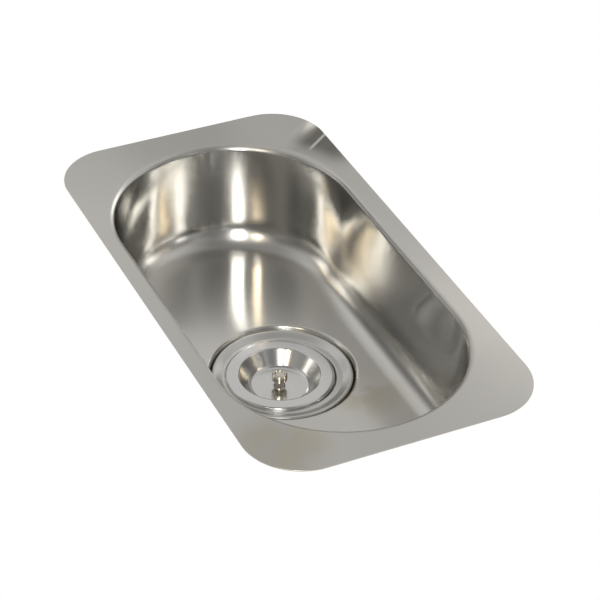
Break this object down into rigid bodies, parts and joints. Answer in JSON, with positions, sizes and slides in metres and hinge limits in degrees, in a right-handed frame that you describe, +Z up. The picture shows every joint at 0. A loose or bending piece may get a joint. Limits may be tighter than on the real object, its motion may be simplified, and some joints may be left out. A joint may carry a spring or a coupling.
{
  "type": "single bowl kitchen sink",
  "caption": "Drawn stainless steel kitchen sink with one round-ended bowl, a flat flange, a basket strainer with rubber stopper, and a dished lid with a turned knob.",
  "frame": {"origin": "centre of the bowl's mouth, in the plane of the flange's top face", "axes": "+X along the bowl's length, +Y across the bowl, +Z up, square to the flange's top face"},
  "size_m": [0.431, 0.226, 0.2455],
  "materials": {
    "sink_steel": "satin, drawn",
    "strainer_steel": "satin, pressed",
    "lid_steel": "satin rim, polished cup",
    "basket_steel": "satin, pressed",
    "tube_steel": "satin tube",
    "knob_chrome": "polished",
    "post_chrome": "polished",
    "seal_rubber": "matt",
    "pad_rubber": "matt",
    "fibre_washer": "pressed fibre",
    "seal_nylon": "moulded",
    "nut_plastic": "moulded"
  },
  "bodies": {
    "sink": {"sink_bowl": "sink_steel", "floor_pad_left": "pad_rubber", "floor_pad_right": "pad_rubber", "flange_gasket": "seal_rubber", "strainer_body": "strainer_steel", "under_gasket": "seal_rubber", "friction_washer": "fibre_washer", "locknut": "nut_plastic", "outlet_spider": "strainer_steel", "tail_washer": "seal_nylon", "tailpiece": "tube_steel", "coupling_nut": "nut_plastic"},
    "basket": {"basket_cup": "basket_steel", "basket_post": "post_chrome", "stopper_rubber": "seal_rubber", "stopper_plate": "basket_steel", "post_nut": "post_chrome", "snap_tip": "seal_nylon"},
    "lid": {"lid_dish": "lid_steel", "lid_knob": "knob_chrome", "knob_screw": "knob_chrome", "knob_washer": "basket_steel"}
  },
  "joints": [
    {"name": "basket_lift", "type": "slide", "parent": "sink", "child": "basket", "axis": [0, 0, 1], "range_m": [0, 0.165]},
    {"name": "lid_lift", "type": "slide", "parent": "basket", "child": "lid", "axis": [0, 0, 1], "range_m": [0, 0.125]}
  ]
}
